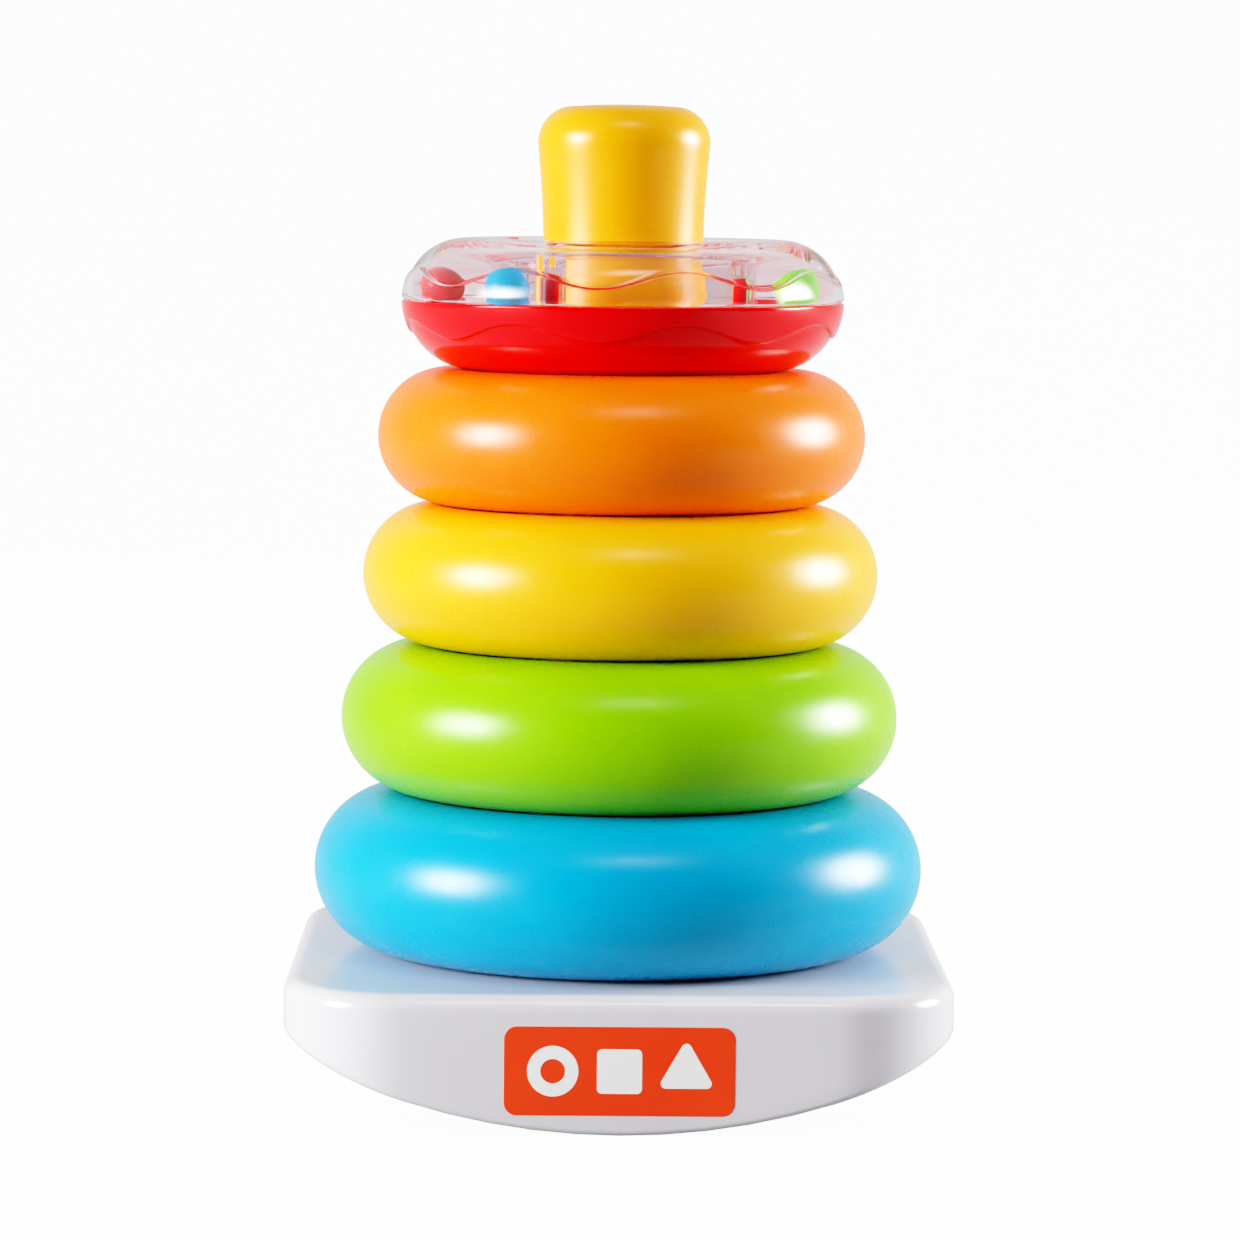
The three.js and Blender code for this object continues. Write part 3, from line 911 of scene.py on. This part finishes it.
SEEN_WHITE = 2.45  # the surroundings as the camera sees them
THROUGH_WHITE = 1.4  # the surroundings as they show through the clear cover
THROUGH_DARK = 0.2  # the same, where the studio is unlit
LIT_WHITE = 1.03  # the surroundings as they light the toy
SHINE_WHITE = 0.85  # the surroundings as gloss reflects them
OVERHEAD = 0.5  # how bright the surroundings are straight up, as a share of the sides
DARK_SHARE = 0.02  # how bright the unlit part is
DARK_MIDDLE = (0.2, -0.95, -0.22)  # towards the unlit part of the studio
DARK_EDGE = (84, 45)  # degrees from its middle where it begins, and where it is full
FLOOR_GLOW_FADE = (-0.2, 0.3)  # where the floor's painted glow, in place of light falling on it, fades in, going back from the camera
FLOOR_GLOW_SPREAD = 1.2  # how much further forward the floor's painted glow comes at the sides

# azimuth from the front, elevation, distance, width, height, strength
SOFTBOXES = {
    "left_softbox": (-66, 13, 1.6, 1.1, 1.1, 76),
    "right_softbox": (101, 12, 1.6, 1.1, 1.1, 72),
    "top_light": (10, 60, 1.8, 1.3, 0.6, 12),
}
AIM_HEIGHT = 0.1

FILM_WHITE = 3.0  # scene light that comes out as full white
FILM_TOE = 0.08  # scene light below which tones fall off
BLACK_POINT = 0.015
BOUNCES = 64  # light runs a long way round inside the clear cover


def make_camera():
    camera = bpy.data.objects.new("camera", bpy.data.cameras.new("camera"))
    bpy.context.scene.collection.objects.link(camera)
    camera.data.sensor_width = 36
    camera.data.lens = CAMERA_LENS
    camera.data.clip_end = 50
    place = Matrix.Translation((*from_front(CAMERA_DISTANCE, CAMERA_TURN), CAMERA_HEIGHT))
    for angle, axis in ((CAMERA_TURN, "Z"), (90 - CAMERA_PITCH, "X"), (CAMERA_ROLL, "Z")):
        place = place @ Matrix.Rotation(math.radians(angle), 4, axis)
    camera.matrix_world = place
    bpy.context.scene.camera = camera


def feed(tree, value, target):
    """Sets a socket to a number, or links another socket to it."""
    if isinstance(value, (int, float)):
        target.default_value = value
    else:
        tree.links.new(value, target)


def smooth_step(tree, source, low, high, at_low, at_high):
    """A smooth step from one level to another. Each level may be a number or a socket."""
    node = tree.nodes.new("ShaderNodeMapRange")
    node.interpolation_type = "SMOOTHSTEP"
    node.inputs["From Min"].default_value = low
    node.inputs["From Max"].default_value = high
    feed(tree, at_low, node.inputs["To Min"])
    feed(tree, at_high, node.inputs["To Max"])
    tree.links.new(source, node.inputs["Value"])
    return node.outputs["Result"]


def times(tree, source, factor):
    """One value times another. The factor may be a number or a socket."""
    node = tree.nodes.new("ShaderNodeMath")
    node.operation = "MULTIPLY"
    tree.links.new(source, node.inputs[0])
    feed(tree, factor, node.inputs[1])
    return node.outputs["Value"]


def surroundings(tree, shape):
    """How brightly the studio glows: plain white where it is seen straight, and by its own
    shape where it lights the toy, is reflected in it or shows through the clear cover."""
    path = tree.nodes.new("ShaderNodeLightPath").outputs
    level = smooth_step(tree, path["Is Glossy Ray"], 0, 1, LIT_WHITE, SHINE_WHITE)
    lighting = times(tree, level, shape)
    first = smooth_step(tree, path["Diffuse Depth"], 0, 1, 1, 0)
    clear = times(tree, path["Is Transmission Ray"], first)
    through = smooth_step(tree, shape, 0, 1, THROUGH_DARK, THROUGH_WHITE)
    seen = smooth_step(tree, clear, 0, 1, lighting, through)
    return smooth_step(tree, path["Is Camera Ray"], 0, 1, seen, SEEN_WHITE)


def make_backdrop():
    """A white sweep: a floor that curves up into a wall behind the toy. Its grey paper glows, a
    painted light: even white where the camera sees it. Where it lights the toy, its glow stands
    in for the light that would fall on the paper, faint near the camera and full behind the toy
    and at the sides. It is clear from below, so that the toy's underside can be looked at."""
    width, near, far, radius, top = 3.0, -2.5, 2.6, 1.2, 4.0
    outline = [(near, 0.0), *arc(far - radius, radius, radius, -90, 0, 24), (far, top)]
    verts = [(x, y, z) for x in (-width, width) for y, z in outline]
    count = len(outline)
    faces = [(i, i + 1, count + i + 1, count + i) for i in range(count - 1)]
    sweep = piece("backdrop", verts, faces, 60)
    if sweep.data.polygons[0].normal.z < 0:
        sweep.data.flip_normals()
    n = Nodes("backdrop_paper")
    paper = n.blend(n.spread(n.noise(0.4), 0, 1), (0.2, 0.2, 0.2, 1), (0.19, 0.19, 0.19, 1))
    n.join(paper, n.shader.inputs["Base Color"])
    n.set(Roughness=0.9, Emission_Color=(1, 1, 1, 1), Specular_IOR_Level=0.1)
    apart = n.add("ShaderNodeSeparateXYZ")
    n.join(n.place, apart.inputs["Vector"])
    aside = n.add("ShaderNodeMath", operation="ABSOLUTE")
    n.join(apart.outputs["X"], aside.inputs[0])
    back = n.add("ShaderNodeMath", operation="MULTIPLY_ADD")
    n.join(aside.outputs["Value"], back.inputs[0])
    back.inputs[1].default_value = FLOOR_GLOW_SPREAD
    n.join(apart.outputs["Y"], back.inputs[2])
    # painted light: the floor's glow, faint near the camera and reaching further forward at the
    # sides
    shape = smooth_step(n.tree, back.outputs["Value"], *FLOOR_GLOW_FADE, DARK_SHARE, 1)
    n.join(surroundings(n.tree, shape), n.shader.inputs["Emission Strength"])
    one_sided = n.add("ShaderNodeMixShader")
    n.join(n.add("ShaderNodeNewGeometry").outputs["Backfacing"], one_sided.inputs["Fac"])
    n.join(n.shader.outputs["BSDF"], one_sided.inputs[1])
    n.join(n.add("ShaderNodeBsdfTransparent").outputs["BSDF"], one_sided.inputs[2])
    n.join(one_sided.outputs["Shader"], n.tree.nodes["Material Output"].inputs["Surface"])
    n.material.cycles.emission_sampling = "NONE"  # it is all round, so it needs no aiming at
    sweep.data.materials.append(n.material)


def make_softbox(name, azimuth, elevation, distance, width, height, strength):
    """A glowing panel whose light fades towards its edges. Only its light shows."""
    verts = [(x * width / 2, y * height / 2, 0) for x, y in ((-1, -1), (1, -1), (1, 1), (-1, 1))]
    panel = piece(name, verts, [(0, 1, 2, 3)])
    n = Nodes(name + "_glow")
    apart = n.add("ShaderNodeSeparateXYZ")
    n.join(n.place, apart.inputs["Vector"])
    level = strength
    for axis, side in (("X", width), ("Y", height)):
        off = n.add("ShaderNodeMath", operation="ABSOLUTE")
        n.join(apart.outputs[axis], off.inputs[0])
        level = times(n.tree, smooth_step(n.tree, off.outputs["Value"], side / 2, 0, 0, 1), level)
    glow = n.add("ShaderNodeEmission")
    n.join(level, glow.inputs["Strength"])
    see_through = n.add("ShaderNodeBsdfTransparent").outputs["BSDF"]
    added = n.add("ShaderNodeAddShader")
    n.join(glow.outputs["Emission"], added.inputs[0])
    n.join(see_through, added.inputs[1])
    n.join(added.outputs["Shader"], n.tree.nodes["Material Output"].inputs["Surface"])
    panel.data.materials.append(n.material)
    x, y = from_front(distance * math.cos(math.radians(elevation)), azimuth)
    offset = Vector((x, y, distance * math.sin(math.radians(elevation))))
    panel.location = Vector((0, 0, AIM_HEIGHT)) + offset
    panel.rotation_euler = offset.to_track_quat("Z", "Y").to_euler()
    panel.visible_camera = False
    panel.visible_transmission = False


def make_world():
    """White all round, dimmer overhead, and dark in front of the toy, on the camera's side."""
    world = bpy.data.worlds.new("studio")
    bpy.context.scene.world = world
    world.use_nodes = True
    world.cycles.sampling_method = "NONE"
    tree = world.node_tree
    background = tree.nodes["Background"]
    background.inputs["Color"].default_value = (1, 1, 1, 1)
    direction = tree.nodes.new("ShaderNodeTexCoord").outputs["Generated"]

    def towards(x, y, z):
        node = tree.nodes.new("ShaderNodeVectorMath")
        node.operation = "DOT_PRODUCT"
        node.inputs[1].default_value = Vector((x, y, z)).normalized()
        tree.links.new(direction, node.inputs[0])
        return node.outputs["Value"]

    start, full = (math.cos(math.radians(a)) for a in DARK_EDGE)
    front = smooth_step(tree, towards(*DARK_MIDDLE), start, full, 1, DARK_SHARE)
    above = smooth_step(tree, towards(0, 0, 1), 0.2, 0.9, 1, OVERHEAD)
    strength = surroundings(tree, times(tree, front, above))
    tree.links.new(strength, background.inputs["Strength"])


def set_film():
    """A camera's response: bright tones bend towards white, and dark ones fall off."""
    view = bpy.context.scene.view_settings
    view.view_transform = "Standard"
    view.use_curve_mapping = True
    mapping = view.curve_mapping
    mapping.black_level = (BLACK_POINT,) * 3
    mapping.white_level = (FILM_WHITE,) * 3

    def response(light):
        return 1 - math.exp(-light * light / (light + FILM_TOE))

    steps = 9
    curve = mapping.curves[3]
    for i in range(1, steps):
        share = (i / steps) ** 2
        curve.points.new(share, response(share * FILM_WHITE) / response(FILM_WHITE))
    mapping.update()


def make_studio():
    make_camera()
    make_backdrop()
    make_world()
    for name, values in SOFTBOXES.items():
        make_softbox(name, *values)
    set_film()
    cycles = bpy.context.scene.cycles
    cycles.max_bounces = BOUNCES
    cycles.glossy_bounces = BOUNCES
    cycles.transmission_bounces = BOUNCES


# ---------------------------------------------------------------- the toy
make_studio()
make_base()
make_sole()
for number in range(1, 5):
    make_screw(f"sole_screw_{number}")
    screw_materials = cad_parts[f"post_screw_{number}"].data.materials
    screw_materials.clear()
    screw_materials.append(STEEL)
make_post()
for ring_colour in RING_LOOKS:
    make_ring(ring_colour)
make_shell()
make_tray()
make_cover()
for bead_colour in BEAD_LOOKS:
    make_bead(bead_colour)
make_print(*make_label())
